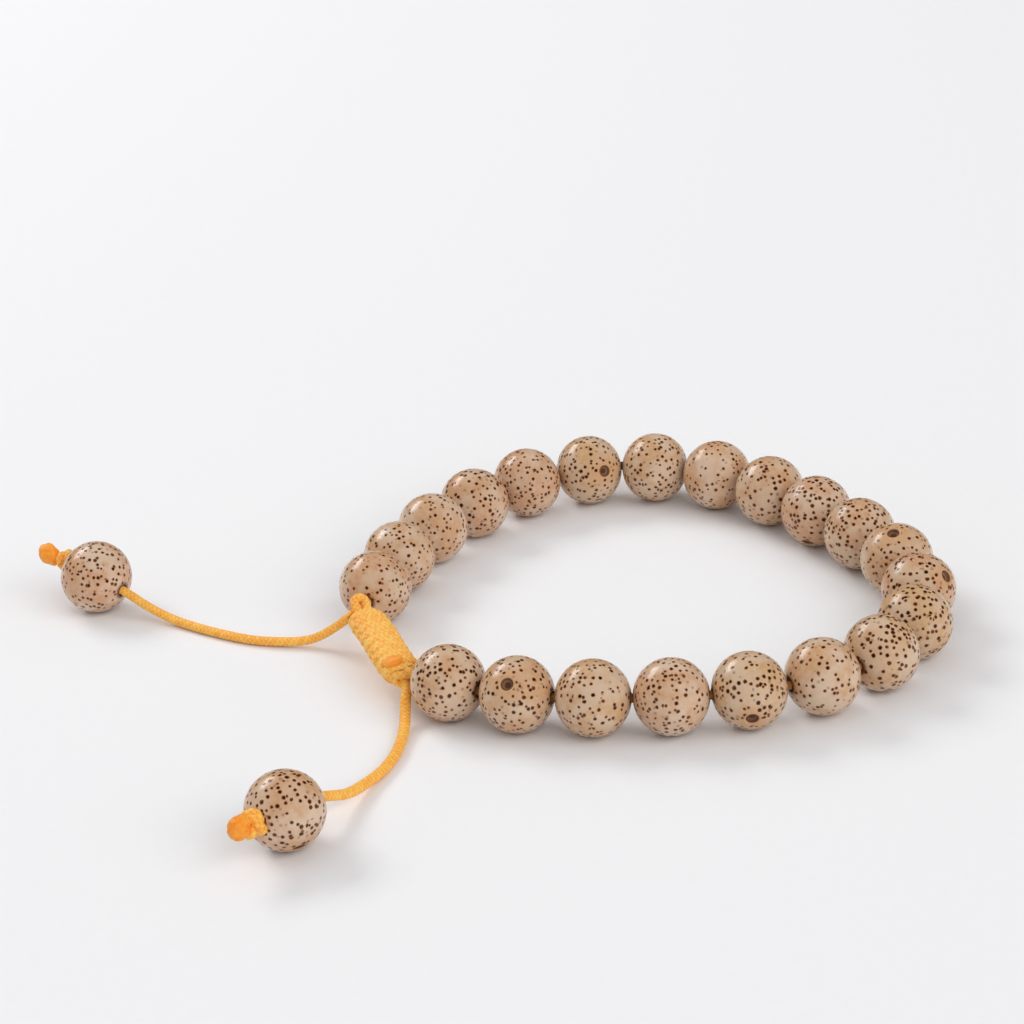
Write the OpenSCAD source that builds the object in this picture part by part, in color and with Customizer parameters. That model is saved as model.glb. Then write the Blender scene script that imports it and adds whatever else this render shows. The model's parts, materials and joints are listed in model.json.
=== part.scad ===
// Wrist mala: seed beads on a braided cord that a sliding knot closes, with an end bead on
// each of its two tails. Millimetres, +Z up. The beads lie on z = 0, and the origin is the
// bottom centre of the loop's box, without the tails. The knot is on the -X side.

/* [Beads] */
// Diameter of a bead, across its bore
bead_d = 8.5; // [8.3:0.1:8.5]
// Length of a bead, along its bore
bead_l = 8.2; // [8:0.1:8.2]
// Radius of the bore
bore_r = 0.65; // [0.62:0.01:0.75]
// Width of the bevel around the bore's mouths
mouth_bevel = 0.2; // [0.1:0.05:0.3]
// Radius of the round pit that grows in each seed's skin
pit_r = 0.7; // [0.4:0.02:0.8]

/* [Loop] */
// Length of cord that one bead takes up
bead_pitch = 8.48; // [8.46:0.01:8.5]
// Mean radius of the cord's line
loop_r = 31.3; // [31.2:0.1:31.6]
// How far the line is drawn out into an oval
oval = 1.2; // [0.8:0.1:1.4]
// How far the line is pushed out into three soft corners
corners = 2.3; // [2:0.1:2.4]

/* [Cord] */
// Diameter of the braided cord
cord_d = 1.1; // [0.9:0.05:1.15]

/* [Sliding knot] */
// Width of the knotted band, across the cords in it
knot_w = 4.1; // [3.8:0.1:4.4]
// Thickness of the band
knot_t = 3.2; // [3.1:0.1:3.4]
// Turns of cord that make up the band
knot_turns = 9; // [6:1:12]
// Diameter of the melted end of the wrapping cord
cut_end_d = 1.6; // [1.2:0.1:2]

/* [Stopper knots] */
// Diameter of the knot behind an end bead
stopper_d = 3; // [2.6:0.1:3.4]
// Diameter of the melted tip behind that knot
tip_d = 2.8; // [2.4:0.1:3]

/* [Hidden] */
$fn = 64;
loop_beads = 21;
cord_sides = 8;
cord_r = cord_d / 2;
bore_height = 4.25;
arc_r = bead_l / 2;
arc_out = (bead_d - bead_l) / 2;
pit_depth = 0.5;
mouth_at = sqrt(pow(arc_r, 2) - pow(bore_r - arc_out, 2));

// the loop's line: its middle, the directions of the oval and of a corner, and where bead 1 starts
loop_at = [0.4, -0.6];
oval_turn = -66;
corner_turn = -50;
first_turn = -161.5;
last_front_bead = 7;
first_back_bead = 16;
hinge_gap = 0.1;

// the sliding knot: its middle line, its two ends and the cords' places on them
knot_x = -31.3;
knot_z = 3.9;
knot_front_y = -10.2;
knot_back_y = 6.2;
knot_l = knot_back_y - knot_front_y;
turn_pitch = knot_l / knot_turns;
groove_depth = 0.2;
bore_offset_z = 0.65;
loop_side_x = -30.6;
left_tail_x = -32.3;
front_tail_x = -31.5;

// the end beads: middle, direction of the bore and its rise towards the stopper knot
front_end = [-52.2, -32.9, bore_height];
front_end_turn = [-149.6, 8.5];
left_end = [-56.1, 31.7, bore_height];
left_end_turn = [123.8, 13];
tail_reach = mouth_at + 0.5;
stopper_at = mouth_at + 0.2;
stopper_l = 1.9;

// where the tails lie between the knot and their end beads
left_tail_route = [
    [left_tail_x, knot_back_y, 4.55], [-32.6, 6.7, 4.05], [-33.2, 7.2, 3.4], [-33.9, 7.8, 2.7],
    [-34.6, 8.3, 2.1], [-35.3, 8.8, 1.6], [-36.2, 9.4, 1.1], [-37.5, 10.1, 0.8],
    [-38.9, 10.9, 0.7], [-41.4, 12.7, 0.6], [-43.2, 14.4, 0.6], [-45, 16.6, 0.6],
    [-47, 19.4, 0.6], [-49.3, 22.8, 0.8], [-51.5, 25.4, 1.8]
];
front_tail_route = [
    [front_tail_x, knot_front_y, 3.25], [-31.6, -11.2, 2.95], [-32.2, -12.4, 2.4],
    [-32.8, -13.8, 1.4], [-34, -16.5, 0.7], [-36.1, -20.2, 0.6], [-38.6, -23.2, 0.6],
    [-41.3, -25.6, 0.9], [-44.1, -28, 1.6], [-46.5, -29.5, 2.7]
];

// turn of each bead's pit about its bore, and its lean along the bore
pit_turns = [
    -100, 137, -70, -60, -160, -80, -40, -90, 142, 78, -70,
    -50, -100, -80, -60, 18, -90, -70, -120, -60, -80, -50, -90
];
pit_leans = [
    10, 0, 5, -15, -7, 20, 0, 10, -26, -13, 5,
    -20, 15, 0, 10, -20, 5, -10, 0, 15, -5, 10, -10
];

seed = [0.85, 0.76, 0.62];
saffron = [0.98, 0.66, 0.16];
melted = [0.95, 0.5, 0.08];

function bead_name(i) = str("bead_", i < 10 ? "0" : "", i);

// ---- the loop's line and the beads' places on it ----

function line_r(turn) =
    loop_r + oval * cos(2 * (turn - oval_turn)) + corners * cos(3 * (turn - corner_turn));

function line_at(turn) = loop_at + line_r(turn) * [cos(turn), sin(turn)];

// the next turn whose point is one bead pitch away: the guess is scaled until it fits
function next_turn(turn, ahead = 15, tries = 12) =
    tries == 0 ? turn + ahead :
    next_turn(turn, ahead * bead_pitch / norm(line_at(turn + ahead) - line_at(turn)), tries - 1);

function gap_turn(i) = i == 0 ? first_turn : next_turn(gap_turn(i - 1));

// gap i is the bend of the cord behind bead i, and gap 0 is in front of bead 1
gaps = [for (i = [0:loop_beads]) concat(line_at(gap_turn(i)), bore_height)];

function bead_middle(i) = (gaps[i - 1] + gaps[i]) / 2;
function bead_heading(i) = atan2(gaps[i].y - gaps[i - 1].y, gaps[i].x - gaps[i - 1].x);
function unit(v) = v / norm(v);
function along(turn) = [cos(turn[1]) * cos(turn[0]), cos(turn[1]) * sin(turn[0]), sin(turn[1])];

// ---- cord ----

// one extra point between each two, on a curve through them all
function smooth(route) = [
    for (i = [0:len(route) - 1], half = [0, 1])
        if (half == 0) route[i]
        else if (i < len(route) - 1)
            (9 * (route[i] + route[i + 1]) - route[max(i - 1, 0)]
                - route[min(i + 2, len(route) - 1)]) / 16
];

function heading_at(route, i) =
    unit(route[min(i + 1, len(route) - 1)] - route[max(i - 1, 0)]);

// a ring of points around the cord, square to the given heading
function ring(middle, heading) =
    let (side = unit(cross([0, 0, 1], heading)), up = cross(heading, side))
    [for (k = [0:cord_sides - 1]) let (a = 360 * (k + 0.5) / cord_sides)
        middle + cord_r * (cos(a) * side + sin(a) * up)];

// a tube along the route, with its two ends square to the headings given
module cord_tube(route, first_heading, last_heading) {
    last = len(route) - 1;
    rings = [for (i = [0:last])
        ring(route[i], i == 0 ? first_heading : i == last ? last_heading : heading_at(route, i))];
    sides = [for (i = [0:last - 1], k = [0:cord_sides - 1])
        let (next = (k + 1) % cord_sides, near = i * cord_sides, far = near + cord_sides)
        [near + k, far + k, far + next, near + next]];
    start_cap = [for (k = [0:cord_sides - 1]) k];
    end_cap = [for (k = [cord_sides - 1:-1:0]) last * cord_sides + k];
    color(saffron) polyhedron([for (r = rings, p = r) p], concat([start_cap], sides, [end_cap]));
}

// the cord through beads first to last, stopping short of the gap where a hinge is
module loop_cord(first, last) {
    start_trim = first == 1 ? 0 : hinge_gap;
    end_trim = last == loop_beads ? 0 : hinge_gap;
    out = unit(gaps[first] - gaps[first - 1]);
    in = unit(gaps[last] - gaps[last - 1]);
    route = [for (i = [first - 1:last])
        gaps[i] + (i == first - 1 ? start_trim * out : i == last ? -end_trim * in : [0, 0, 0])];
    cord_tube(route, out, in);
}

// ---- beads ----

module bead_outline() {
    difference() {
        intersection() {
            translate([arc_out, 0]) circle(arc_r);
            translate([bore_r, -bead_l / 2]) square([bead_d, bead_l]);
        }
        for (side = [-1, 1])
            polygon([
                [bore_r - 0.1, side * (mouth_at + 0.1)],
                [bore_r + mouth_bevel, side * (mouth_at + 0.1)],
                [bore_r - 0.1, side * (mouth_at - mouth_bevel)]
            ]);
    }
}

// a bead with its bore along X, and its pit at the given turn and lean
module bead(pit_turn, pit_lean) {
    pit_ball_r = (pow(pit_r, 2) + pow(pit_depth, 2)) / (2 * pit_depth);
    color(seed) difference() {
        rotate([0, 90, 0]) rotate_extrude() bead_outline();
        rotate([pit_turn, 0, 0]) rotate([0, 0, -pit_lean])
            translate([0, bead_d / 2 - pit_depth + pit_ball_r, 0]) sphere(pit_ball_r);
    }
}

module loop_bead(i) {
    translate(bead_middle(i)) rotate([0, 0, bead_heading(i)])
        bead(pit_turns[i - 1], pit_leans[i - 1]);
}

module at_end_bead(middle, turn) {
    translate(middle) rotate([0, -turn[1], turn[0]]) children();
}

module end_bead_front() {
    at_end_bead(front_end, front_end_turn) bead(pit_turns[21], pit_leans[21]);
}

module end_bead_left() {
    at_end_bead(left_end, left_end_turn) bead(pit_turns[22], pit_leans[22]);
}

// ---- sliding knot ----

module band_section(inset) {
    end_r = knot_t / 2 - inset;
    flat = knot_w - knot_t;
    union() {
        square([flat, 2 * end_r], center = true);
        for (side = [-1, 1]) translate([side * flat / 2, 0]) circle(end_r);
    }
}

// a straight bar between two points at one height
module level_bar(from, to, r) {
    translate(from) rotate([0, 90, atan2(to.y - from.y, to.x - from.x)])
        cylinder(h = norm(to - from), r = r);
}

// the way of a cord through the band, longer than the band by the given reach at both ends
module knot_way(front_x, back_x, z, r, reach) {
    run = [back_x - front_x, knot_l, 0] / knot_l;
    level_bar([front_x, knot_front_y, z] - reach * run, [back_x, knot_back_y, z] + reach * run, r);
}

module front_way(r) { knot_way(loop_side_x, left_tail_x, knot_z + bore_offset_z, r, 1); }
module back_way(r) { knot_way(front_tail_x, loop_side_x, knot_z - bore_offset_z, r, 1); }

module between_knot_ends() {
    intersection() {
        children();
        translate([knot_x - knot_w, knot_front_y, 0]) cube([2 * knot_w, knot_l, 2 * knot_z]);
    }
}

module knot_band() {
    ridge_l = turn_pitch * 0.7;
    color(saffron) difference() {
        translate([knot_x, knot_back_y, knot_z]) rotate([90, 0, 0]) union() {
            linear_extrude(knot_l) band_section(groove_depth);
            for (i = [0:knot_turns - 1])
                translate([0, 0, (i + 0.5) * turn_pitch - ridge_l / 2])
                    linear_extrude(ridge_l) band_section(0);
        }
        front_way(cord_r + 0.05);
        back_way(cord_r + 0.05);
    }
}

module knot_core_front() { color(saffron) between_knot_ends() front_way(cord_r); }
module knot_core_back() { color(saffron) between_knot_ends() back_way(cord_r); }

// the small eye that the wrapping cord leaves at the back end of the band
module knot_loop_end() {
    eye_r = 0.7;
    eye = [knot_x + 0.6, knot_back_y + 1.3, knot_z + 1.4];
    round_part = [for (a = [0:20:180]) eye + eye_r * [cos(a), sin(a), 0]];
    legs = [for (side = [1, -1]) [eye.x + side * eye_r, knot_back_y, eye.z]];
    cord_tube(concat([legs[0]], round_part, [legs[1]]), [0, 1, 0], [0, -1, 0]);
}

// the wrapping cord's melted end, a low dome pressed on the shoulder of the band
module knot_cut_end() {
    dome_h = 0.7;
    dome_r = (pow(cut_end_d / 2, 2) + pow(dome_h, 2)) / (2 * dome_h);
    shoulder = [knot_x - 0.8, knot_front_y + 1.8, knot_z + knot_t / 2 - 0.15];
    color(melted) translate(shoulder) rotate([0, -15, 0]) rotate_extrude()
        intersection() {
            translate([0, dome_h - dome_r]) circle(dome_r);
            square([cut_end_d, dome_h]);
        }
}

// ---- cords between the knot and the loop, and the tails ----

module link_cord_front() {
    start = [loop_side_x, knot_front_y, knot_z + bore_offset_z];
    end = gaps[0];
    heading = unit(gaps[1] - gaps[0]);
    middle = (start + end) / 2 + 0.15 * ([0, -1, 0] - heading);
    cord_tube([start, middle, end], [0, -1, 0], heading);
}

module link_cord_back() {
    start = [loop_side_x, knot_back_y, knot_z - bore_offset_z];
    end = gaps[loop_beads];
    heading = unit(gaps[loop_beads - 1] - end);
    early = start + [0.05, 0.8, 0.05];
    late = end - 0.8 * heading;
    cord_tube([start, early, late, end], [0, 1, 0], heading);
}

module tail_cord(route, first_heading, middle, turn) {
    whole = smooth(concat(route, [middle - tail_reach * along(turn)]));
    cord_tube(concat(whole, [middle + stopper_at * along(turn)]), first_heading, along(turn));
}

module tail_cord_front() {
    tail_cord(front_tail_route, [0, -1, 0], front_end, front_end_turn);
}

module tail_cord_left() {
    tail_cord(left_tail_route, [0, 1, 0], left_end, left_end_turn);
}

// ---- stopper knots, each with its melted tip ----

// a ball along X, cut flat at x = 0 and, if a length is given, at that length
module cut_ball(d, middle, length) {
    rotate([0, 90, 0]) rotate_extrude() intersection() {
        translate([0, middle]) circle(d / 2);
        square([d, length]);
    }
}

module stopper_knot() {
    color(saffron) translate([stopper_at, 0, 0]) cut_ball(stopper_d, stopper_l / 2, stopper_l);
}

module melted_tip() {
    color(melted) translate([stopper_at + stopper_l, 0, 0]) cut_ball(tip_d, 0.75, tip_d);
}

module stopper_knot_front() { at_end_bead(front_end, front_end_turn) stopper_knot(); }
module stopper_knot_left() { at_end_bead(left_end, left_end_turn) stopper_knot(); }
module melted_tip_front() { at_end_bead(front_end, front_end_turn) melted_tip(); }
module melted_tip_left() { at_end_bead(left_end, left_end_turn) melted_tip(); }

for (i = [1:loop_beads]) loop_bead(i);
end_bead_front();
end_bead_left();
loop_cord(last_front_bead + 1, first_back_bead - 1);  // loop_cord_far
loop_cord(1, last_front_bead);  // loop_cord_front
loop_cord(first_back_bead, loop_beads);  // loop_cord_back
link_cord_front();
link_cord_back();
knot_band();
knot_core_front();
knot_core_back();
knot_loop_end();
knot_cut_end();
tail_cord_front();
tail_cord_left();
stopper_knot_front();
stopper_knot_left();
melted_tip_front();
melted_tip_left();
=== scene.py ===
"""Looks of the wrist mala: polished seed beads on a braided cord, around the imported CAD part."""
import json
import math
import random

import bpy
import numpy as np
from mathutils import Matrix, Vector


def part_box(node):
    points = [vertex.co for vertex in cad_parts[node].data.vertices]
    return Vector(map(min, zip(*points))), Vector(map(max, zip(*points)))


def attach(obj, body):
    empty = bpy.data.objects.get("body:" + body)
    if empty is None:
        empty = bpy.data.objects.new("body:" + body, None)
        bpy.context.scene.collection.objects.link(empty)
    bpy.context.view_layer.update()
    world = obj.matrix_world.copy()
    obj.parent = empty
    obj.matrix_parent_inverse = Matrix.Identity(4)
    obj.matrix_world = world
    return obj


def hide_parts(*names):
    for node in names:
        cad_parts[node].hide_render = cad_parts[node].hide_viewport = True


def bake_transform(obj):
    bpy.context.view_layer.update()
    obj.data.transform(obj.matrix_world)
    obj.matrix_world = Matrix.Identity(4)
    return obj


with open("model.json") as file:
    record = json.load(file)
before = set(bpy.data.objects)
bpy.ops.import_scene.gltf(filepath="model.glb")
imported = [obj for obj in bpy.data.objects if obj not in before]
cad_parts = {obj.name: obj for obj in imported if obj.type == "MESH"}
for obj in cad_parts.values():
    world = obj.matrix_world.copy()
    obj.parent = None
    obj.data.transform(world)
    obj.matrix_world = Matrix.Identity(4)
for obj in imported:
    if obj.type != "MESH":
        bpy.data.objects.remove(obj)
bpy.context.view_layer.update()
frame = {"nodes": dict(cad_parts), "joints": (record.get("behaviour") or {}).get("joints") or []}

MM = 0.001
joints = {joint["name"]: joint for joint in frame["joints"]}

# ---- sizes, in metres ----

LOOP_BEADS = 21
# beads 1 to 7 swing with the front arm, and beads 16 to 21 with the back arm
LAST_FRONT_BEAD = 7
FIRST_BACK_BEAD = 16
BEAD_PITCH = 8.48 * MM
# a seed is an arc turned round its bore: BEAD_R is half its width across the bore, and the arc's radius is
# half its length along the bore
BEAD_R = 4.29 * MM
END_BEAD_ARC_R = 4.22 * MM
# the CAD bead's skin is an arc too, and the arc's middle is this far out from the bore's axis
PACKED_ARC_R = 4.1 * MM
PACKED_ARC_OUT = 0.15 * MM
SKIN_GAP = 0.03 * MM
BEND_ROOM_SHARE = 0.3
UNEVENNESS = 0.02 * MM
SKIN_ROWS = 72
SKIN_COLUMNS = 100
BORE_R = 0.65 * MM
MOUTH_R = 0.7 * MM
MOUTH_DEPTH = 0.5 * MM
# the mouth next to a stopper knot is wider and deeper
STOPPER_MOUTH_R = 1.35 * MM
STOPPER_MOUTH_DEPTH = 0.9 * MM
PIT_R = 0.68 * MM
PIT_DEPTH = 0.62 * MM

CORD_R = 0.55 * MM
BORED_CORD_WIDTH = 1.9 * CORD_R
CORE_WIDTH = 1.7 * CORD_R
BRAID_STRANDS = 4
BRAID_PITCH = 0.56 * MM
BRAID_RELIEF = 0.16
PRESSED_RELIEF = 0.06
TAIL_WIDTH = 1.25 * MM
TAIL_THICKNESS = 1.15 * MM
FINE_STEP = 0.1 * MM

band_low, band_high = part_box("knot_band")
KNOT_MIDDLE = (band_low + band_high) / 2
KNOT_FRONT_Y = band_low.y
KNOT_BACK_Y = band_high.y

# ---- camera, light and floor ----

CAMERA_AT = Vector((-119.5, -304.8, 162.1)) * MM
CAMERA_FORWARD = Vector((0.2981, 0.8608, -0.4124))
CAMERA_ROLL = math.radians(4.16)
LENS_IN_MM = 109.65
SENSOR_IN_MM = 36
KEY_DIRECTION = Vector((-0.34, 0.71, 0.61))
TOP_DIRECTION = Vector((-0.4, 0.35, 0.85))
FRONT_DIRECTION = Vector((0.3, -0.75, 0.6))
SKY_COLOUR = (0.99, 0.99, 1.0, 1)
SKY_STRENGTH = 0.5
FLOOR_HALF = 4.0
FLOOR_CELLS = 24


def make_camera():
    data = bpy.data.cameras.new("camera")
    data.sensor_width = SENSOR_IN_MM
    data.lens = LENS_IN_MM
    data.clip_start = 0.01
    data.clip_end = 20
    camera = bpy.data.objects.new("camera", data)
    bpy.context.scene.collection.objects.link(camera)
    forward = CAMERA_FORWARD.normalized()
    level_right = forward.cross(Vector((0, 0, 1))).normalized()
    level_up = level_right.cross(forward)
    right = math.cos(CAMERA_ROLL) * level_right - math.sin(CAMERA_ROLL) * level_up
    up = math.sin(CAMERA_ROLL) * level_right + math.cos(CAMERA_ROLL) * level_up
    turn = Matrix((right, up, -forward)).transposed().to_4x4()
    camera.matrix_world = Matrix.Translation(CAMERA_AT) @ turn
    bpy.context.scene.camera = camera


def area_light(name, direction, distance, width, height, power, reflected=False):
    """A panel that faces the object. Only a reflected one shows in polished skin."""
    data = bpy.data.lights.new(name, "AREA")
    data.shape = "RECTANGLE"
    data.size = width
    data.size_y = height
    data.energy = power
    light = bpy.data.objects.new(name, data)
    bpy.context.scene.collection.objects.link(light)
    direction = direction.normalized()
    light.location = direction * distance
    light.rotation_mode = "QUATERNION"
    light.rotation_quaternion = direction.to_track_quat("Z", "Y")
    light.visible_glossy = reflected


def make_lights():
    world = bpy.data.worlds.new("studio")
    bpy.context.scene.world = world
    world.use_nodes = True
    background = world.node_tree.nodes["Background"]
    background.inputs["Color"].default_value = SKY_COLOUR
    background.inputs["Strength"].default_value = SKY_STRENGTH
    world.cycles_visibility.glossy = False
    area_light("softbox", KEY_DIRECTION, distance=1.1, width=0.6, height=0.32, power=4.4, reflected=True)
    area_light("top_panel", TOP_DIRECTION, distance=2.2, width=2.4, height=2.4, power=5)
    area_light("front_panel", FRONT_DIRECTION, distance=2.2, width=2.2, height=1.6, power=26)
    bpy.context.scene.view_settings.view_transform = "Standard"


# ---- node helpers ----


class Shader:
    """A material under construction: short calls that add a node and link what it is given."""

    def __init__(self, name):
        self.material = bpy.data.materials.new(name)
        self.material.use_nodes = True
        self.tree = self.material.node_tree
        self.surface = self.tree.nodes["Principled BSDF"]

    def put(self, socket, value):
        if isinstance(value, bpy.types.NodeSocket):
            self.tree.links.new(value, socket)
        else:
            socket.default_value = value

    def add(self, kind, **settings):
        node = self.tree.nodes.new(kind)
        for key, value in settings.items():
            setattr(node, key, value)
        return node

    def math(self, operation, a, b=0.0, clamp=False):
        node = self.add("ShaderNodeMath", operation=operation, use_clamp=clamp)
        self.put(node.inputs[0], a)
        self.put(node.inputs[1], b)
        return node.outputs[0]

    def vector(self, operation, a, b=(0, 0, 0)):
        node = self.add("ShaderNodeVectorMath", operation=operation)
        self.put(node.inputs[0], a)
        self.put(node.inputs[1], b)
        return node.outputs["Value" if operation in ("DISTANCE", "LENGTH", "DOT_PRODUCT") else "Vector"]

    def scaled(self, vector, factor):
        node = self.add("ShaderNodeVectorMath", operation="SCALE")
        self.put(node.inputs[0], vector)
        self.put(node.inputs["Scale"], factor)
        return node.outputs["Vector"]

    def object_mm(self):
        return self.scaled(self.add("ShaderNodeTexCoord").outputs["Object"], 1 / MM)

    def noise(self, where, scale, detail=2.0, roughness=0.5):
        node = self.add("ShaderNodeTexNoise")
        self.put(node.inputs["Vector"], where)
        node.inputs["Scale"].default_value = scale
        node.inputs["Detail"].default_value = detail
        node.inputs["Roughness"].default_value = roughness
        return node.outputs["Fac"], node.outputs["Color"]

    def ramp(self, value, low, high, at_low=0.0, at_high=1.0):
        node = self.add("ShaderNodeMapRange", interpolation_type="SMOOTHSTEP")
        self.put(node.inputs["Value"], value)
        self.put(node.inputs["From Min"], low)
        self.put(node.inputs["From Max"], high)
        self.put(node.inputs["To Min"], at_low)
        self.put(node.inputs["To Max"], at_high)
        return node.outputs["Result"]

    def mix(self, amount, first, second):
        node = self.add("ShaderNodeMix", data_type="RGBA")
        self.put(next(i for i in node.inputs if i.name == "Factor" and i.type == "VALUE"), amount)
        first_input, second_input = (i for i in node.inputs if i.type == "RGBA")
        self.put(first_input, first if isinstance(first, bpy.types.NodeSocket) else (*first, 1))
        self.put(second_input, second if isinstance(second, bpy.types.NodeSocket) else (*second, 1))
        return next(o for o in node.outputs if o.type == "RGBA")

    def attribute(self, name):
        return self.add("ShaderNodeAttribute", attribute_name=name).outputs["Fac"]

    def bump(self, height, strength, distance, base=None):
        node = self.add("ShaderNodeBump")
        self.put(node.inputs["Height"], height)
        node.inputs["Strength"].default_value = strength
        node.inputs["Distance"].default_value = distance
        if base is not None:
            self.put(node.inputs["Normal"], base)
        return node.outputs["Normal"]


# ---- materials: places and noise inside them are in millimetres ----

SEED_MOTTLE = (0.70, 0.515, 0.37)
SEED_GRAIN = (0.38, 0.21, 0.11)
SEED_NEAR_PIT = (0.60, 0.335, 0.165)
FAINT_DOT_DARK = (0.20, 0.125, 0.085)
FAINT_DOT_PALE = (0.34, 0.19, 0.10)
DOT_RIM = (0.27, 0.085, 0.022)
DOT_BLACK = (0.024, 0.005, 0.001)
DOT_BROWN = (0.11, 0.03, 0.007)
# raw seed colour of the pit and the bore, also used as painted shade round the bore's mouths
RAW_SEED_AND_PAINTED_SHADE = (0.085, 0.024, 0.009)
MELT_DEEP = (0.93, 0.26, 0.010)
MELT_BRIGHT = (0.96, 0.37, 0.035)
MELT_SCAR = (0.96, 0.56, 0.14)
FLOOR_GREY = (0.86, 0.86, 0.87)
FLOOR_PALE = (0.88, 0.88, 0.89)
SHEEN_TINT = (1.0, 0.8, 0.45, 1)


def seed_material(name, pit, rng):
    """A polished seed: cream skin with tan clouds, dark dots over it, and a warm patch round the pit."""
    s = Shader(name)
    where = s.object_mm()
    offset = tuple(rng.uniform(-40, 40) for _ in range(3))
    drift = s.vector("ADD", where, offset)
    pit_distance = s.vector("DISTANCE", where, tuple(c / MM for c in pit))
    away_from_pit = s.ramp(pit_distance, 0.85, 1.1)

    # skin
    clouds = s.noise(drift, scale=0.32, detail=3.0)[0]
    cream = rng.uniform(-0.03, 0.03)
    pale = (0.64 + cream, 0.465 + cream, 0.325 + 1.3 * cream)
    tan = (0.58, 0.33 + rng.uniform(-0.02, 0.03), 0.17)
    skin = s.mix(s.ramp(clouds, 0.38 + rng.uniform(-0.06, 0.06), 0.62), pale, tan)
    mottle = s.noise(drift, scale=1.7, detail=4.0, roughness=0.65)[0]
    skin = s.mix(s.ramp(mottle, 0.35, 0.72, at_high=0.4), skin, SEED_MOTTLE)
    grain = s.noise(drift, scale=9.0, detail=3.0, roughness=0.7)[0]
    skin = s.mix(s.ramp(grain, 0.42, 0.75, at_high=0.14), skin, SEED_GRAIN)
    near_pit = s.ramp(pit_distance, 0.8, 2.8, at_low=0.8, at_high=0.0)
    skin = s.mix(near_pit, skin, SEED_NEAR_PIT)

    # dots: the nearest cell's centre, brought out to the skin, is a dot's middle
    turn = s.add("ShaderNodeMapping", vector_type="POINT")
    s.put(turn.inputs["Vector"], where)
    turn.inputs["Rotation"].default_value = tuple(rng.uniform(0, math.pi) for _ in range(3))
    turned = turn.outputs[0]
    seed_r = s.vector("LENGTH", where)
    frayed = s.noise(drift, scale=5.0)[0]
    fray = s.math("MULTIPLY", s.math("SUBTRACT", frayed, 0.5), 0.16)
    size = rng.uniform(0.86, 1.12)
    density = rng.uniform(0.8, 1.12)

    def dots(scale, small, large, share, shift):
        """One layer of dots: how far inside a dot a point is, whether the dot is drawn, and its tone."""
        moved = tuple(c + shift for c in offset)
        cells = s.add("ShaderNodeTexVoronoi")
        s.put(cells.inputs["Vector"], s.vector("ADD", turned, moved))
        cells.inputs["Scale"].default_value = scale
        cells.inputs["Randomness"].default_value = 0.82
        chance = s.add("ShaderNodeSeparateColor")
        s.put(chance.inputs[0], cells.outputs["Color"])
        centre = s.vector("SUBTRACT", cells.outputs["Position"], moved)
        depth = s.math("ABSOLUTE", s.math("SUBTRACT", s.vector("LENGTH", centre), seed_r))
        on_skin = s.scaled(s.vector("NORMALIZE", centre), seed_r)
        larger = s.math("MULTIPLY", chance.outputs["Red"], (large - small) * size)
        reach = s.math("ADD", small * size, larger)
        inside = s.math("SUBTRACT", s.math("ADD", reach, fray), s.vector("DISTANCE", turned, on_skin))
        shown = s.math("MULTIPLY", s.math("LESS_THAN", depth, 0.3),
                       s.math("LESS_THAN", chance.outputs["Green"], share * density))
        return inside, s.math("MULTIPLY", shown, away_from_pit), chance.outputs["Blue"]

    inside, shown, darkness = dots(scale=1.42, small=0.115, large=0.215, share=0.74, shift=0.0)
    faint_inside, faint_shown, faint_darkness = dots(scale=1.25, small=0.10, large=0.2, share=0.42, shift=7.0)
    faint = s.math("MULTIPLY", faint_shown, s.ramp(faint_inside, -0.07, 0.06, at_high=0.6))
    colour = s.mix(faint, skin, s.mix(faint_darkness, FAINT_DOT_DARK, FAINT_DOT_PALE))
    rim = s.math("MULTIPLY", shown, s.ramp(inside, -0.1, 0.01, at_high=0.9))
    colour = s.mix(rim, colour, DOT_RIM)
    ink = s.math("MULTIPLY", shown, s.ramp(inside, -0.02, 0.06))
    ink_colour = s.mix(s.ramp(darkness, 0.45, 1.0), DOT_BLACK, DOT_BROWN)
    colour = s.mix(ink, colour, ink_colour)

    # the pit is raw and brown; each bore's mouth is raw brown seed inside, with painted shade on the skin
    # round it, where the beads meet
    across = s.add("ShaderNodeSeparateXYZ")
    s.put(across.inputs[0], where)
    from_bore = s.math("SQRT", s.math("ADD", s.math("POWER", across.outputs["Y"], 2.0),
                                      s.math("POWER", across.outputs["Z"], 2.0)))
    # painted shade: a darker ring on the skin round each bore's mouth, strongest at the rim and gone 1.3 mm
    # from the bore's axis
    bore_raw_and_painted_shade = s.ramp(from_bore, 0.75, 1.3, at_low=0.9, at_high=0.0)
    skin_r = BEAD_R / MM
    pit_shade = s.math("MULTIPLY", s.ramp(seed_r, skin_r - 0.2, skin_r - 0.08, at_low=0.95, at_high=0.0),
                       s.ramp(pit_distance, PIT_R / MM, 1.3 * PIT_R / MM, at_low=1.0, at_high=0.0))
    colour = s.mix(s.math("MAXIMUM", bore_raw_and_painted_shade, pit_shade), colour, RAW_SEED_AND_PAINTED_SHADE)
    s.put(s.surface.inputs["Base Color"], colour)

    rough = s.math("ADD", s.ramp(grain, 0.3, 0.8, at_low=0.2, at_high=0.29), s.math("MULTIPLY", ink, 0.1))
    s.put(s.surface.inputs["Roughness"], s.math("MAXIMUM", rough, s.math("MULTIPLY", pit_shade, 0.7)))
    relief = s.math("SUBTRACT", s.math("MULTIPLY", mottle, 0.5), ink)
    s.put(s.surface.inputs["Normal"], s.bump(relief, strength=0.3, distance=0.025 * MM))
    s.surface.inputs["Specular IOR Level"].default_value = 0.38
    s.surface.inputs["Coat Weight"].default_value = 0.1
    s.surface.inputs["Coat Roughness"].default_value = 0.12
    return s.material


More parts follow.
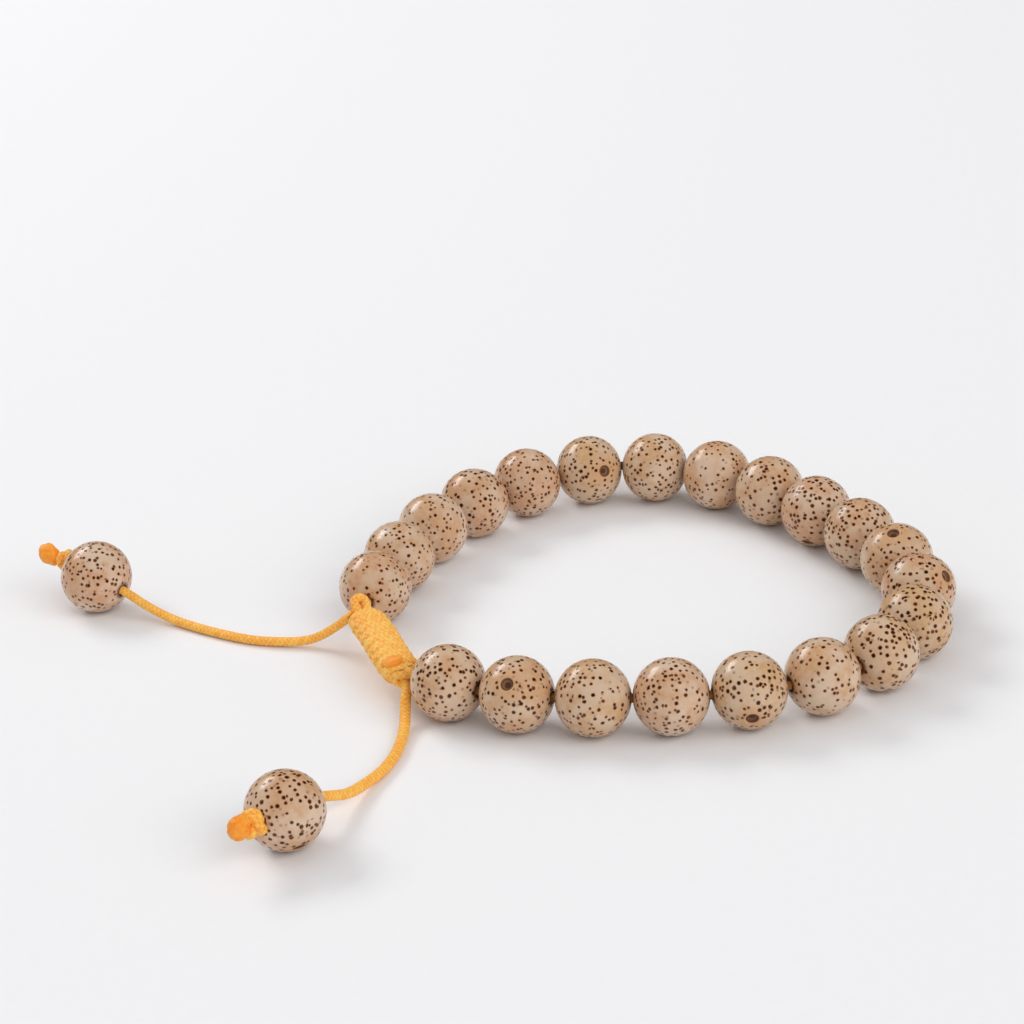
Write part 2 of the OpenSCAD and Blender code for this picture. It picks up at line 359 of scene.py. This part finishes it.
def cord_material(name, deep, bright, glint, glint_share=0.55):
    """Braided nylon: tones that change from strand to strand, painted shade in the creases, a painted glint
    on the strands' tops, and fine fibres.
    """
    s = Shader(name)
    where = s.object_mm()
    height = s.attribute("braid_height")
    tone = s.attribute("strand_tone")
    patches = s.noise(where, scale=0.6, detail=3.0)[0]
    fibres = s.noise(where, scale=14.0, detail=3.0, roughness=0.7)[0]
    level = s.math("ADD", s.math("MULTIPLY", tone, 0.5), s.math("MULTIPLY", patches, 0.7))
    colour = s.mix(s.ramp(level, 0.35, 0.85), deep, bright)
    # painted highlight: the glint colour on the strands' tops
    painted_glint_mask = s.math("MULTIPLY", s.ramp(height, 0.5, 0.95), s.ramp(fibres, 0.35, 0.65, at_low=0.35))
    colour = s.mix(s.math("MULTIPLY", painted_glint_mask, glint_share), colour, glint)
    # painted shade: the creases between strands are darkened
    painted_crease_shade = s.ramp(height, 0.0, 0.55, at_low=0.8, at_high=0.0)
    colour = s.mix(painted_crease_shade, colour, tuple(c * k for c, k in zip(deep, (0.95, 0.55, 0.2))))
    s.put(s.surface.inputs["Base Color"], colour)
    s.put(s.surface.inputs["Roughness"], s.ramp(fibres, 0.3, 0.7, at_low=0.5, at_high=0.68))
    s.put(s.surface.inputs["Normal"], s.bump(fibres, strength=0.45, distance=0.03 * MM))
    s.surface.inputs["Sheen Weight"].default_value = 0.08
    s.surface.inputs["Sheen Roughness"].default_value = 0.4
    s.surface.inputs["Sheen Tint"].default_value = SHEEN_TINT
    s.surface.inputs["Specular IOR Level"].default_value = 0.25
    return s.material


def melted_material():
    """Nylon that was melted with a flame: deep orange, half glossy, with soft lumps and paler scars."""
    s = Shader("melted_nylon")
    where = s.object_mm()
    patches = s.noise(where, scale=0.9, detail=3.0)[0]
    scars = s.noise(where, scale=4.5, detail=4.0, roughness=0.65)[0]
    colour = s.mix(s.ramp(patches, 0.35, 0.68), MELT_DEEP, MELT_BRIGHT)
    colour = s.mix(s.ramp(scars, 0.5, 0.68, at_high=0.55), colour, MELT_SCAR)
    s.put(s.surface.inputs["Base Color"], colour)
    s.put(s.surface.inputs["Roughness"], s.ramp(scars, 0.3, 0.7, at_low=0.36, at_high=0.56))
    s.put(s.surface.inputs["Normal"], s.bump(scars, strength=0.7, distance=0.09 * MM))
    s.surface.inputs["Specular IOR Level"].default_value = 0.3
    return s.material


def floor_material():
    s = Shader("studio_floor")
    where = s.object_mm()
    grain = s.noise(where, scale=0.8, detail=3.0)[0]
    s.put(s.surface.inputs["Base Color"], s.mix(grain, FLOOR_GREY, FLOOR_PALE))
    s.put(s.surface.inputs["Roughness"], s.ramp(grain, 0.3, 0.7, at_low=0.7, at_high=0.8))
    s.surface.inputs["Specular IOR Level"].default_value = 0.2
    return s.material


# ---- mesh helpers ----


def mesh_object(name, points, faces, material):
    mesh = bpy.data.meshes.new(name)
    mesh.from_pydata(np.asarray(points).tolist(), [], [list(map(int, f)) for f in faces])
    mesh.validate()
    mesh.shade_smooth()
    mesh.materials.append(material)
    piece = bpy.data.objects.new(name, mesh)
    bpy.context.scene.collection.objects.link(piece)
    return piece


def grid_faces(rows, columns, closed_rows):
    """Quads between rows of points, each row a closed ring of that many points."""
    faces = []
    for i in range(rows if closed_rows else rows - 1):
        here, there = i * columns, (i + 1) % rows * columns
        for k in range(columns):
            after = (k + 1) % columns
            faces.append((here + k, here + after, there + after, there + k))
    return faces


def capped_faces(rows, columns):
    """The faces of an open grid, closed at each end by triangles to one more point: first, then last."""
    faces = grid_faces(rows, columns, False)
    first, last = rows * columns, rows * columns + 1
    for k in range(columns):
        after = (k + 1) % columns
        faces.append((first, after, k))
        faces.append((last, (rows - 1) * columns + k, (rows - 1) * columns + after))
    return faces


def set_values(piece, name, values):
    """Keeps one number for each point of the mesh, for its material to read."""
    attribute = piece.data.attributes.new(name, "FLOAT", "POINT")
    attribute.data.foreach_set("value", np.asarray(values, np.float32))


def crowded(start, end, count, centre, width, crowding):
    """Values from start to end that lie closer together around the centre."""
    fine = np.linspace(start, end, 3000)
    density = 1 + crowding * np.exp(-(((fine - centre) / width) ** 2))
    total = np.concatenate([[0], np.cumsum((density[1:] + density[:-1]) / 2)])
    return np.interp(np.linspace(0, total[-1], count), total, fine)


def unit_rows(vectors):
    return vectors / np.linalg.norm(vectors, axis=1, keepdims=True)


def resampled(line, step):
    """The same line, with its points an equal distance of about one step apart."""
    lengths = np.concatenate([[0], np.cumsum(np.linalg.norm(np.diff(line, axis=0), axis=1))])
    count = max(3, int(round(lengths[-1] / step)) + 1)
    wanted = np.linspace(0, lengths[-1], count)
    return np.stack([np.interp(wanted, lengths, line[:, axis]) for axis in range(3)], axis=1)


def smooth_line(points, step):
    """A smooth curve through the points, with points about one step apart."""
    route = np.array(points, float)
    ends = np.vstack([2 * route[0] - route[1], route, 2 * route[-1] - route[-2]])
    pieces = []
    share = np.linspace(0, 1, 24, endpoint=False)[:, None]
    for a, b, c, d in zip(ends, ends[1:], ends[2:], ends[3:]):
        pieces.append(0.5 * (2 * b + (c - a) * share + (2 * a - 5 * b + 4 * c - d) * share ** 2
                             + (3 * b - a - 3 * c + d) * share ** 3))
    return resampled(np.vstack([*pieces, route[-1:]]), step)


def carried_sides(line, first_side):
    """A side direction for each point of the line, turned as little as the line allows."""
    headings = unit_rows(np.gradient(line, axis=0))
    sides = np.empty_like(line)
    side = np.array(first_side, float)
    for i, heading in enumerate(headings):
        side = side - heading * (side @ heading)
        side /= np.linalg.norm(side)
        sides[i] = side
    return headings, sides


def braid(turn, along):
    """Height from 0 to 1 of a round braid's surface, and a tone for the strand on top there."""
    right = BRAID_STRANDS * turn + along / BRAID_PITCH
    left = BRAID_STRANDS * turn - along / BRAID_PITCH
    right_strand, left_strand = np.floor(right), np.floor(left)

    def height(across, lengthwise, other, sign):
        bulge = np.sqrt(np.clip(1 - (2 * (across - np.floor(across)) - 1) ** 2, 0, 1))
        rise = sign * np.cos(math.pi * (lengthwise - 0.5 + other))
        return 0.6 * bulge + 0.4 * rise

    right_height = height(right, left, right_strand, 1)
    left_height = height(left, right, left_strand, -1)
    top = np.maximum(right_height, left_height)
    strand = np.where(right_height > left_height, right_strand * 1.7 + 0.3, left_strand * 2.3 + 0.9)
    tone = np.abs(np.sin(strand * 12.9898) * 43758.5453) % 1
    return np.clip(top, 0, 1), tone


def braided_tube(name, line, width, thickness, sides, first_side, material, relief=BRAID_RELIEF,
                 outward=None):
    """A braided cord along the line. Its thickness is measured along outward, where that is given."""
    headings, side = carried_sides(line, first_side)
    if outward is not None:
        side = outward - headings * np.sum(outward * headings, axis=1, keepdims=True)
        side = unit_rows(side)
    other = np.cross(headings, side)
    along = np.concatenate([[0], np.cumsum(np.linalg.norm(np.diff(line, axis=0), axis=1))])
    turns = np.arange(sides) / sides
    height, tone = braid(turns[None, :], along[:, None])
    shrink = 1 - relief * (1 - height)
    angle = 2 * math.pi * turns
    width, thickness = np.broadcast_to(width, len(line)), np.broadcast_to(thickness, len(line))
    points = (line[:, None, :]
              + (shrink * np.cos(angle) * thickness[:, None] / 2)[:, :, None] * side[:, None, :]
              + (shrink * np.sin(angle) * width[:, None] / 2)[:, :, None] * other[:, None, :])
    points = np.vstack([points.reshape(-1, 3), line[:1], line[-1:]])
    piece = mesh_object(name, points, capped_faces(len(line), sides), material)
    set_values(piece, "braid_height", np.append(height.ravel(), [0, 0]))
    set_values(piece, "strand_tone", np.append(tone.ravel(), [0, 0]))
    return piece


def lumps(directions, rng, count, fineness):
    """A smooth irregular number from -1 to 1 for each direction."""
    total = np.zeros(len(directions))
    for _ in range(count):
        way = np.array([rng.gauss(0, 1) for _ in range(3)])
        way /= np.linalg.norm(way)
        total += np.cos(fineness * rng.uniform(0.6, 1.4) * (directions @ way) + rng.uniform(0, 2 * math.pi))
    return total / count


def blob(name, matrix, radii, rng, roughness, fineness, material, rows=44, columns=64):
    """A lumpy drop of melted nylon."""
    polar = np.linspace(0, math.pi, rows + 2)[1:-1]
    around = np.arange(columns) / columns * 2 * math.pi
    directions = np.stack([
        np.repeat(np.cos(polar), columns),
        (np.sin(polar)[:, None] * np.cos(around)).ravel(),
        (np.sin(polar)[:, None] * np.sin(around)).ravel()], axis=1)
    directions = np.vstack([directions, [[1, 0, 0], [-1, 0, 0]]])
    coarse = lumps(directions, rng, 7, fineness)
    fine = lumps(directions, rng, 9, fineness * 3)
    swell = 1 + roughness * coarse + roughness * 0.6 * fine
    points = directions * np.array(radii) * swell[:, None]
    turn = np.array(matrix.to_3x3())
    points = points @ turn.T + np.array(matrix.translation)
    return mesh_object(name, points, capped_faces(rows, columns), material)


# ---- beads ----


def bead_matrix(joint_name):
    """Where a bead is: its middle, X along its bore, and Z as far up as that allows."""
    joint = joints[joint_name]
    x = Vector(joint["axis"]).normalized()
    y = Vector((0, 0, 1)).cross(x).normalized()
    z = x.cross(y)
    return Matrix.Translation(Vector(joint["pos_m"])) @ Matrix((x, y, z)).transposed().to_4x4()


def pit_direction(node, matrix):
    """The direction, in the bead's own axes, in which the CAD bead's skin dips into its pit."""
    corners = np.array([v.co for v in frame["nodes"][node].data.vertices])
    local = (corners - np.array(matrix.translation)) @ np.array(matrix.to_3x3())
    radial = np.hypot(local[:, 1], local[:, 2])
    dip = PACKED_ARC_OUT + np.sqrt(np.maximum(PACKED_ARC_R ** 2 - local[:, 0] ** 2, 0)) - radial
    in_pit = local[(dip > 0.1 * MM) & (radial > 1.5 * MM)]
    middle = (in_pit.min(axis=0) + in_pit.max(axis=0)) / 2
    return middle / np.linalg.norm(middle)


def mouth_curve(side, arc_r, mouth_r, depth):
    """From the skin into the bore, in (along, radius): a rounded rim."""
    angle = math.asin((mouth_r - BEAD_R + arc_r) / arc_r)
    rim = np.array([arc_r * math.cos(angle), mouth_r])
    corner = np.array([rim[0] + 0.04 * MM, BORE_R])
    inner = np.array([rim[0] - depth, BORE_R])
    share = np.linspace(0, 1, 8)[1:, None]
    curve = (1 - share) ** 2 * rim + 2 * share * (1 - share) * corner + share ** 2 * inner
    return curve * np.array([side, 1]), angle


def seed_bead(name, node, joint_name, body, rng, arc_r, far_mouth_r=MOUTH_R, far_mouth_depth=MOUTH_DEPTH):
    """One seed, with its bore, the rounded rims of the bore's mouths, and its pit."""
    matrix = bead_matrix(joint_name)
    pit = pit_direction(node, matrix)
    pit_polar, pit_around = math.acos(pit[0]), math.atan2(pit[2], pit[1])
    far_curve, far_angle = mouth_curve(1, arc_r, far_mouth_r, far_mouth_depth)
    near_curve, near_angle = mouth_curve(-1, arc_r, MOUTH_R, MOUTH_DEPTH)
    polar = crowded(far_angle, math.pi - near_angle, SKIN_ROWS, pit_polar, 0.17, 6)
    around = crowded(pit_around - math.pi, pit_around + math.pi, SKIN_COLUMNS + 1, pit_around, 0.17, 6)[:-1]
    skin = np.stack([arc_r * np.cos(polar), BEAD_R - arc_r + arc_r * np.sin(polar)], axis=1)
    wall = np.linspace(near_curve[-1], far_curve[-1], 6)[1:-1]
    profile = np.vstack([skin, near_curve, wall, far_curve[::-1]])

    along = np.repeat(profile[:, 0], len(around))
    radius = np.repeat(profile[:, 1], len(around))
    angle = np.tile(around, len(profile))
    points = np.stack([along, radius * np.cos(angle), radius * np.sin(angle)], axis=1)
    directions = unit_rows(points)
    on_skin = np.repeat(np.arange(len(profile)) < len(skin), len(around))
    uneven = UNEVENNESS * (lumps(directions, rng, 5, 2.6) - 0.7)
    uneven *= np.clip((radius - MOUTH_R) / (0.8 * MM), 0, 1)
    from_pit = np.linalg.norm(directions - pit, axis=1) * BEAD_R
    dip = PIT_DEPTH / (1 + (from_pit / PIT_R) ** 14) * (1 - 0.15 * (from_pit / PIT_R).clip(0, 1) ** 2)
    points += directions * np.where(on_skin, uneven - dip, 0)[:, None]

    faces = grid_faces(len(profile), len(around), True)
    material = seed_material(name, pit * BEAD_R, rng)
    bead = mesh_object(name, points, faces, material)
    bead.matrix_world = matrix
    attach(bead, body)
    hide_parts(node)
    return bead


def make_beads():
    """A loop bead is as long as its nearer neighbour allows, less a little where the loop bends."""
    middles = [Vector(joints[f"bead_{number:02d}_spin"]["pos_m"]) for number in range(1, LOOP_BEADS + 1)]
    spacing = [(after - before).length for before, after in zip(middles, middles[1:])]
    for number in range(1, LOOP_BEADS + 1):
        node = f"bead_{number:02d}"
        nearest = min(spacing[max(number - 2, 0):number])
        bend_room = BEND_ROOM_SHARE * (BEAD_PITCH - nearest)
        seed_bead(f"seed_{number:02d}", node, f"{node}_spin", node, random.Random(100 + number),
                  nearest / 2 - SKIN_GAP - bend_room)
    for place, seed in (("front", 31), ("left", 47)):
        node = f"end_bead_{place}"
        seed_bead(f"end_seed_{place}", node, f"{node}_spin", node, random.Random(seed), END_BEAD_ARC_R,
                  STOPPER_MOUTH_R, STOPPER_MOUTH_DEPTH)


# ---- the cord through the beads ----


def gap(number):
    """The point of the cord between one bead and the next; gap 0 is in front of bead 1."""
    bead = bead_matrix(f"bead_{max(number, 1):02d}_spin")
    ahead = -0.5 if number == 0 else 0.5
    return bead @ Vector((ahead * BEAD_PITCH, 0, 0))


def heading(number):
    return Vector(joints[f"bead_{number:02d}_spin"]["axis"]).normalized()


def bored_line(first, last, before, after):
    """The cord's line through some beads. A negative before or after stops it short of that end."""
    points = [gap(first - 1) - before * heading(first)]
    points += [gap(number) for number in range(first, last)]
    points.append(gap(last) + after * heading(last))
    return points


def plain_cord(name, points, step=0.4 * MM):
    line = smooth_line(points, step)
    return braided_tube(name, line, BORED_CORD_WIDTH, BORED_CORD_WIDTH, 24, (0, 0, 1), loop_nylon_painted_shade,
                        PRESSED_RELIEF)


def make_loop_cords():
    # an arm's cord runs on a little into the far part, and stops in the end bead, where the link takes over
    overlap = 1.2 * MM
    short = -0.8 * MM
    far = plain_cord("cord_loop_far", bored_line(LAST_FRONT_BEAD + 1, FIRST_BACK_BEAD - 1, 0, 0))
    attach(far, "far_loop")
    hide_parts("loop_cord_far")
    arms = (("front", 1, LAST_FRONT_BEAD, short, overlap),
            ("back", FIRST_BACK_BEAD, LOOP_BEADS, overlap, short))
    for place, first, last, before, after in arms:
        arm = plain_cord(f"cord_loop_{place}", bored_line(first, last, before, after), 0.3 * MM)
        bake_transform(arm)
        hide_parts(f"loop_cord_{place}")


# ---- the sliding knot ----

LOOP_SIDE_X = -30.6 * MM
LEFT_TAIL_X = -32.3 * MM
FRONT_TAIL_X = -31.5 * MM
UPPER_Z = 4.55 * MM
LOWER_Z = 3.25 * MM
HALF_KNOTS = 18
LINK_IN_BEAD = 2.4 * MM
WRAP_WIDTH = 1.36 * MM
WRAP_THICKNESS = 0.74 * MM
EDGE_OUT = 0.16 * MM
UNDER_EDGE_LIFT = 0.42 * MM
BACK_TAPER = 0.22
FRONT_TAPER = 0.34
KNOT_BOW = np.array([0.36, 0, 0.26]) * MM
KNOT_END_SHIFT = np.array([0.05, 0, -0.15]) * MM
# the last turn of the wrapping cord, pushed in between the tail and the link
TUCKED_END = ((-32.7, -8.7, 3.5), (-32.3, -9.4, 3.95), (-31.7, -9.8, 4.1),
              (-31.0, -9.9, 4.0), (-30.4, -9.6, 3.5), (-30.3, -9.0, 3.1))


def knot_axis(y):
    """The middle of the band at each y. Its back half bows up and towards the loop, and its front sinks."""
    share = np.clip(((y - KNOT_FRONT_Y) / (KNOT_BACK_Y - KNOT_FRONT_Y) - 0.2) / 0.55, 0, 1)
    end_share = np.clip((KNOT_FRONT_Y + 3 * MM - y) / (3 * MM), 0, 1)
    middle = (np.array(KNOT_MIDDLE) + (share * share * (3 - 2 * share))[:, None] * KNOT_BOW
              + (end_share ** 2)[:, None] * KNOT_END_SHIFT)
    middle[:, 1] = y
    return middle


def knot_strand(name, over):
    """One of the two wrapping strands. It crosses one face of the band and turns back at each edge."""
    pitch = (KNOT_BACK_Y - KNOT_FRONT_Y - WRAP_WIDTH) / HALF_KNOTS
    t = np.linspace(0, HALF_KNOTS + 0.5, HALF_KNOTS * 90 + 1)
    size = band_high - band_low
    half_w = size.x / 2 - WRAP_THICKNESS / 2 + EDGE_OUT
    half_t = size.z / 2 - WRAP_THICKNESS / 2
    taper = 1 - BACK_TAPER * np.exp(-(t ** 2)) - FRONT_TAPER * np.exp(-(((t - HALF_KNOTS - 0.5) / 1.3) ** 2))
    swing = np.cos(math.pi * t)
    side = np.sign(swing) * np.abs(swing) ** 0.75
    lift = np.abs(np.sin(math.pi * t)) ** 0.8
    if over:
        x, z = half_w * side, half_t * lift
    else:
        x, z = -(half_w - 0.1 * MM) * side, -half_t * lift + UNDER_EDGE_LIFT * np.abs(swing) ** 6
    line = knot_axis(KNOT_BACK_Y - WRAP_WIDTH / 2 - pitch * t)
    line[:, 0] += x * taper
    line[:, 2] += z * taper
    line = resampled(line, FINE_STEP)
    outward = line - knot_axis(line[:, 1])
    at_edge = np.clip(np.abs(outward[:, 0]) / half_w, 0, 1) ** 4
    width = WRAP_WIDTH * (1 - 0.16 * at_edge)
    thickness = WRAP_THICKNESS * (1 + 0.3 * at_edge)
    return braided_tube(name, line, width, thickness, 32, (0, 0, 1), knot_nylon, 0.17, outward)


def knot_core(name, front, back, node):
    """The cord inside the band, squeezed a little by the wraps."""
    line = smooth_line([front, front.lerp(back, 0.3), front.lerp(back, 0.7), back], 0.25 * MM)
    core = braided_tube(name, line, CORE_WIDTH, CORE_WIDTH, 20, (0, 0, 1), loop_nylon_painted_shade, PRESSED_RELIEF)
    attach(core, "far_loop")
    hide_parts(node)


def make_wraps():
    """The band: one strand over, one under, and the end of the last turn."""
    over = knot_strand("knot_wrap_over", True)
    under = knot_strand("knot_wrap_under", False)
    for strand in (over, under):
        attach(strand, "far_loop")
    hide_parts("knot_band")
    tuck_line = smooth_line([Vector(p) * MM for p in TUCKED_END], FINE_STEP)
    tuck = braided_tube("knot_wrap_end", tuck_line, 1.25 * MM, 1.1 * MM, 32, (0, 0, 1), knot_nylon)
    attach(tuck, "far_loop")


def make_cores():
    inset = Vector((0, 0.4 * MM, 0))
    knot_core("knot_core_upper", Vector((LOOP_SIDE_X, KNOT_FRONT_Y, UPPER_Z)) + inset,
              Vector((LEFT_TAIL_X, KNOT_BACK_Y, UPPER_Z)) - inset, "knot_core_front")
    knot_core("knot_core_lower", Vector((FRONT_TAIL_X, KNOT_FRONT_Y, LOWER_Z)) + inset,
              Vector((LOOP_SIDE_X, KNOT_BACK_Y, LOWER_Z)) - inset, "knot_core_back")


def make_eye():
    """The small loop of the wrapping cord at the knot's back end."""
    low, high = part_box("knot_loop_end")
    eye = Vector(((low.x + high.x) / 2 - 0.08 * MM, high.y - 1.25 * MM, (low.z + high.z) / 2 + 0.38 * MM))
    eye_r = (high.x - low.x) / 2 - CORD_R - 0.02 * MM
    legs = [Vector((side * eye_r * 0.8, -1.9 * MM, -1.5 * MM)) for side in (1, -1)]
    arc = []
    for a in np.linspace(-0.1 * math.pi, 1.1 * math.pi, 13):
        rise = eye_r * 0.7 * math.sin(a)
        arc.append(Vector((eye_r * math.cos(a), rise - 0.35 * MM, rise - 0.25 * MM)))
    line = smooth_line([eye + p for p in [legs[0], *arc, legs[1]]], FINE_STEP)
    loop_end = braided_tube("knot_eye", line, 2.05 * CORD_R, 1.95 * CORD_R, 32, (0, 0, 1), knot_nylon)
    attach(loop_end, "far_loop")
    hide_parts("knot_loop_end")


def make_cut_end():
    """The melted end of the wrapping cord, pressed down on the knot."""
    low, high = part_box("knot_cut_end")
    lean = Matrix.Rotation(math.radians(-15), 4, "Y")
    middle = Vector(((low.x + high.x) / 2, (low.y + high.y) / 2, low.z + 0.12 * MM))
    cut = blob("knot_cut_tip", Matrix.Translation(middle) @ lean, (1.12 * MM, 1.05 * MM, 0.42 * MM),
               random.Random(5), 0.14, 3.4, melted_nylon)
    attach(cut, "far_loop")
    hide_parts("knot_cut_end")


def make_knot():
    make_wraps()
    make_cores()
    make_eye()
    make_cut_end()


def make_link(place, knot_points, bead_number):
    """The short cord between the knot and the loop. More of it comes out of the knot as the loop opens."""
    inward = heading(bead_number) * (1 if place == "front" else -1)
    end = gap(0) if place == "front" else gap(LOOP_BEADS)
    points = [*knot_points, end, end + LINK_IN_BEAD / 2 * inward, end + LINK_IN_BEAD * inward]
    line = smooth_line(points, FINE_STEP)
    link = braided_tube(f"cord_link_{place}", line, TAIL_WIDTH, TAIL_THICKNESS, 36, (0, 0, 1), tail_nylon)
    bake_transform(link)
    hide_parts(f"link_cord_{place}")


def make_links():
    front_y, back_y = KNOT_FRONT_Y, KNOT_BACK_Y
    pinch = Vector((-0.25, 0, -0.2)) * MM
    make_link("front", [Vector((LOOP_SIDE_X, front_y + 6 * MM, UPPER_Z)),
                        Vector((LOOP_SIDE_X, front_y + 3 * MM, UPPER_Z)) + pinch / 2,
                        Vector((LOOP_SIDE_X, front_y + 0.4 * MM, UPPER_Z)) + pinch], 1)
    make_link("back", [Vector((LOOP_SIDE_X, back_y - 5 * MM, LOWER_Z)),
                       Vector((LOOP_SIDE_X, back_y - 2 * MM, LOWER_Z)),
                       Vector((LOOP_SIDE_X, back_y + 0.6 * MM, LOWER_Z + 0.03 * MM))], LOOP_BEADS)


# ---- the tails: free cords from the knot, through an end bead, to a stopper knot ----

LEFT_TAIL = [(x * MM, y * MM, z * MM) for x, y, z in (
    (-32.3, 6.2, 4.55), (-32.6, 6.7, 4.05), (-33.2, 7.2, 3.4), (-33.9, 7.8, 2.7),
    (-34.6, 8.3, 2.1), (-35.3, 8.8, 1.6), (-36.2, 9.4, 1.1), (-37.5, 10.1, 0.8),
    (-38.9, 10.9, 0.7), (-41.4, 12.7, 0.6), (-43.2, 14.4, 0.6), (-45, 16.6, 0.6),
    (-47, 19.4, 0.6), (-49.3, 22.8, 0.8), (-51.5, 25.4, 1.8))]
FRONT_TAIL = [(x * MM, y * MM, z * MM) for x, y, z in (
    (-31.5, -10.2, 3.25), (-31.6, -11.2, 2.95), (-32.2, -12.4, 2.4),
    (-32.8, -13.8, 1.4), (-34, -16.5, 0.7), (-36.1, -20.2, 0.6), (-38.6, -23.2, 0.6),
    (-41.3, -25.6, 0.9), (-44.1, -28, 1.6), (-46.5, -29.5, 2.7))]
MOUTH_AT = 4.07 * MM
TAIL_REACH = MOUTH_AT + 0.5 * MM
STOPPER_MIDDLE = MOUTH_AT + 0.75 * MM
TAIL_IN_KNOT = 0.6 * MM
TAIL_PAST_STOPPER = 0.8 * MM
TAIL_STEP = 0.09 * MM
STOPPER_WIDTH = 1.3 * MM
STOPPER_THICKNESS = 1.1 * MM
STOPPER_RELIEF = 0.2


def stopper_line(matrix, girth):
    """The line of a tight overhand knot round the X axis of the end bead."""
    t = np.linspace(0, 4 * math.pi, 700)
    ring, sway, stand = 0.80 * MM * girth, 0.30 * MM * girth, 0.48 * MM
    radius = ring + sway * np.cos(1.5 * t)
    along = STOPPER_MIDDLE + stand * np.sin(1.5 * t)
    local = np.stack([along, radius * np.cos(t), radius * np.sin(t)], axis=1)
    turn = np.array(matrix.to_3x3())
    return resampled(local @ turn.T + np.array(matrix.translation), TAIL_STEP)


def make_tail(place, route, girth, tip_at, tip_lift, seed):
    """A tail with its stopper knot and melted tip. Girth is how stout they are, next to the front tail's."""
    body = f"{place}_tail"
    matrix = bead_matrix(f"end_bead_{place}_spin")
    entry = matrix @ Vector((-TAIL_REACH, 0, 0))
    in_bead = matrix @ Vector((-MOUTH_AT / 2, 0, 0))
    stopper = matrix @ Vector((STOPPER_MIDDLE + TAIL_PAST_STOPPER, 0, 0))
    start = Vector(route[0])
    inside = start + (start - Vector(route[1])).normalized() * TAIL_IN_KNOT
    line = smooth_line([inside, *route, entry, in_bead, stopper], TAIL_STEP)
    cord_girth = (1 + girth) / 2
    tail = braided_tube(f"cord_tail_{place}", line, TAIL_WIDTH * cord_girth, TAIL_THICKNESS * cord_girth, 36,
                        (0, 0, 1), tail_nylon)
    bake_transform(tail)
    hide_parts(f"tail_cord_{place}")

    knot = braided_tube(f"stopper_{place}", stopper_line(matrix, girth), STOPPER_WIDTH * girth,
                        STOPPER_THICKNESS * girth, 32, (0.3, 0.2, 1), tail_nylon, STOPPER_RELIEF)
    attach(knot, body)
    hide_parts(f"stopper_knot_{place}")

    tip_matrix = matrix @ Matrix.Translation(Vector((tip_at, 0, tip_lift)))
    tip_radii = ((tip_at - MOUTH_AT) * 0.46, 1.2 * MM * girth, 1.35 * MM * girth)
    tip = blob(f"stopper_tip_{place}", tip_matrix, tip_radii, random.Random(seed), 0.27, 3.6, melted_nylon)
    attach(tip, body)
    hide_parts(f"melted_tip_{place}")


def make_floor():
    places = [FLOOR_HALF * (2 * i / FLOOR_CELLS - 1) for i in range(FLOOR_CELLS + 1)]
    points = [(x, y, 0) for x in places for y in places]
    row = FLOOR_CELLS + 1
    faces = []
    for i in range(FLOOR_CELLS):
        for k in range(FLOOR_CELLS):
            corner = i * row + k
            faces.append((corner, corner + row, corner + row + 1, corner + 1))
    floor = mesh_object("floor", points, faces, floor_material())


make_camera()
make_lights()
make_floor()

# painted shade: the loop cord is orange nylon like the tails, coloured dark brown here for the shade it lies
# in between and inside the beads and inside the knot band
loop_nylon_painted_shade = cord_material(
    "loop_nylon_painted_shade", deep=(0.22, 0.065, 0.01), bright=(0.32, 0.11, 0.02), glint=(0.44, 0.19, 0.05))
knot_nylon = cord_material(
    "knot_nylon", deep=(0.94, 0.335, 0.012), bright=(0.955, 0.51, 0.07), glint=(0.95, 0.76, 0.34))
tail_nylon = cord_material(
    "tail_nylon", deep=(0.94, 0.33, 0.012), bright=(0.955, 0.47, 0.052), glint=(0.955, 0.74, 0.29))
melted_nylon = melted_material()

make_beads()
make_tail("front", FRONT_TAIL, girth=1.0, tip_at=MOUTH_AT + 2.65 * MM, tip_lift=0.3 * MM, seed=3)
make_tail("left", LEFT_TAIL, girth=0.88, tip_at=MOUTH_AT + 3.4 * MM, tip_lift=-0.4 * MM, seed=8)
make_links()
make_loop_cords()
make_knot()
